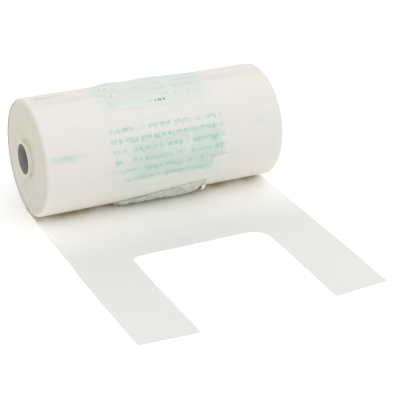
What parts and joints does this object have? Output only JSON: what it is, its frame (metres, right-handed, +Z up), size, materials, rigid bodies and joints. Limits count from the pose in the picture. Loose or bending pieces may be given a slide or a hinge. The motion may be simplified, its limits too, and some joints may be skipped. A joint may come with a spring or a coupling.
{
  "type": "roll of vest-type plastic bags",
  "caption": "Roll of vest-type plastic carrier bags on a hollow core, with the first bag drawn out flat and its two handles free.",
  "frame": {"origin": "centre of the core's bore, halfway along the core", "axes": "+X along the core, +Z up, and the film leaves the underside of the roll towards -Y"},
  "size_m": [0.278, 0.3405, 0.1257],
  "materials": {
    "core_board": "matte",
    "core_paper": "matte",
    "film_pack": "satin",
    "film_wrap": "satin",
    "film_seal": "satin",
    "film_flat": "satin"
  },
  "bodies": {
    "core": {"core_tube": "core_board", "core_facing": "core_paper", "bag_01_contact_strip": "film_flat"},
    "roll": {"wound_bags": "film_pack", "bag_01_wound": "film_wrap", "bag_01_seal": "film_seal", "bag_01_skirt": "film_wrap", "bag_01_ties_left": "film_seal", "bag_01_ties_right": "film_seal", "bag_02": "film_wrap", "bag_02_seal": "film_seal", "bag_02_skirt": "film_wrap", "bag_02_ties_left": "film_seal", "bag_02_ties_right": "film_seal", "bag_03": "film_wrap", "bag_03_seal": "film_seal", "bag_03_skirt": "film_wrap", "bag_03_ties_left": "film_seal", "bag_03_ties_right": "film_seal", "bag_04": "film_wrap", "bag_04_seal": "film_seal"},
    "first_bag": {"bag_01_body": "film_flat"},
    "handle_left": {"bag_01_handle_left": "film_flat"},
    "handle_right": {"bag_01_handle_right": "film_flat"}
  },
  "joints": [
    {"name": "roll_spin", "type": "hinge", "parent": "core", "child": "roll", "pos_m": [0, 0, 0], "axis": [-1, 0, 0], "range_deg": [0, 190]},
    {"name": "film_feed", "type": "slide", "parent": "core", "child": "first_bag", "axis": [0, -1, 0], "range_m": [0, 0.208]},
    {"name": "handle_left_lift", "type": "hinge", "parent": "first_bag", "child": "handle_left", "pos_m": [-0.105, -0.132, -0.0628], "axis": [-1, 0, 0], "range_deg": [0, 80]},
    {"name": "handle_right_lift", "type": "hinge", "parent": "first_bag", "child": "handle_right", "pos_m": [0.105, -0.132, -0.0628], "axis": [-1, 0, 0], "range_deg": [0, 80]}
  ],
  "couplings": [
    {"joint": "film_feed", "follows": "roll_spin", "m_per_rad": 0.0625}
  ]
}
